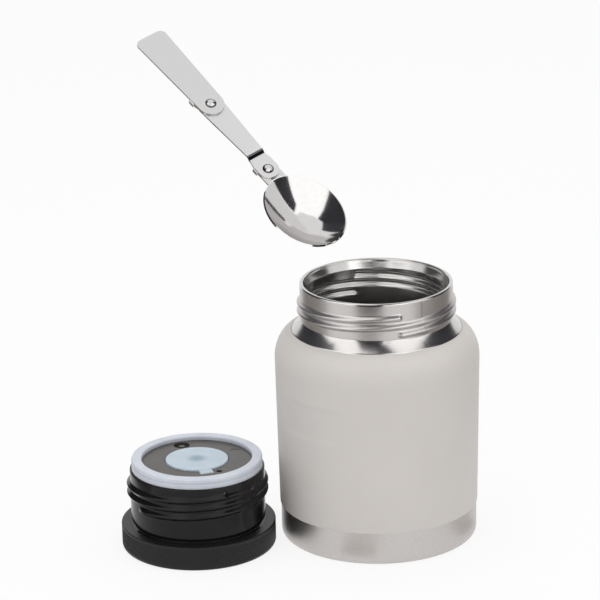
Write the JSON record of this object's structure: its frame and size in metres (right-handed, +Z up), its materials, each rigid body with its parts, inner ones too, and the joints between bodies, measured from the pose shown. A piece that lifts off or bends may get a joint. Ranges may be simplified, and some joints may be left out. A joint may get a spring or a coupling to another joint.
{
  "type": "insulated food jar",
  "caption": "Vacuum insulated food jar with a coated body, steel base and threaded neck, its screw stopper upside down beside it and a folding steel spoon above.",
  "frame": {"origin": "on the jar's axis, in the plane it stands on", "axes": "+Z up along the jar's axis out of its mouth, +X to the right and -Y towards a viewer who sees the stopper at the left and in front"},
  "size_m": [0.177, 0.1223, 0.2383],
  "materials": {
    "stone_coat": "textured powder coat, matte",
    "brushed_steel": "brushed round the axis",
    "polished_steel": "polished stainless steel",
    "satin_steel": "satin stamped stainless steel",
    "black_plastic": "glossy moulded polypropylene",
    "grip_plastic": "satin moulded, knurled",
    "plate_plastic": "satin grey moulded",
    "silicone": "translucent bluish white silicone",
    "tray_plastic": "fine moulded texture",
    "foam": "expanded foam",
    "copper": "thin copper foil",
    "dark_metal": "sintered getter pill",
    "braze": "melted braze"
  },
  "bodies": {
    "jar": {"outer_shell": "stone_coat", "base_cup": "brushed_steel", "base_disc": "satin_steel", "seal_bead": "braze", "inner_vessel": "polished_steel", "neck_collar": "brushed_steel", "copper_shield": "copper", "getter": "dark_metal"},
    "cover": {"spoon_cover": "grip_plastic", "cover_hinge_pin": "polished_steel"},
    "stopper": {"grip_ring": "grip_plastic", "stopper_body": "black_plastic", "spoon_tray": "tray_plastic", "insulation_foam": "foam", "bottom_plate": "plate_plastic", "seal_ring": "silicone"},
    "valve": {"relief_valve": "silicone"},
    "bowl": {"spoon_bowl": "polished_steel", "bowl_rivet": "polished_steel"},
    "link": {"spoon_link": "satin_steel", "handle_rivet": "polished_steel"},
    "handle": {"spoon_handle": "satin_steel"}
  },
  "joints": [
    {"name": "lid_lift", "type": "slide", "parent": "jar", "child": "cover", "axis": [0, 0, 1], "range_m": [0, 0.09]},
    {"name": "cover_swing", "type": "hinge", "parent": "cover", "child": "stopper", "pos_m": [-0.0891, 0.0219, 0.0036], "axis": [-1, 0, 0], "range_deg": [0, 90]},
    {"name": "valve_lift", "type": "slide", "parent": "stopper", "child": "valve", "axis": [0, 0, 1], "range_m": [0, 0.0008], "stiffness_N_per_m": 150},
    {"name": "spoon_lift", "type": "slide", "parent": "jar", "child": "bowl", "axis": [0, 0, 1], "range_m": [0, 0.08]},
    {"name": "link_fold", "type": "hinge", "parent": "bowl", "child": "link", "pos_m": [-0.0512, 0.0104, 0.1828], "axis": [-0.1292, 0.5777, -0.806], "range_deg": [0, 180]},
    {"name": "handle_fold", "type": "hinge", "parent": "link", "child": "handle", "pos_m": [-0.07893, 0.03809, 0.20709], "axis": [-0.1292, 0.5777, -0.806], "range_deg": [0, 180]}
  ]
}
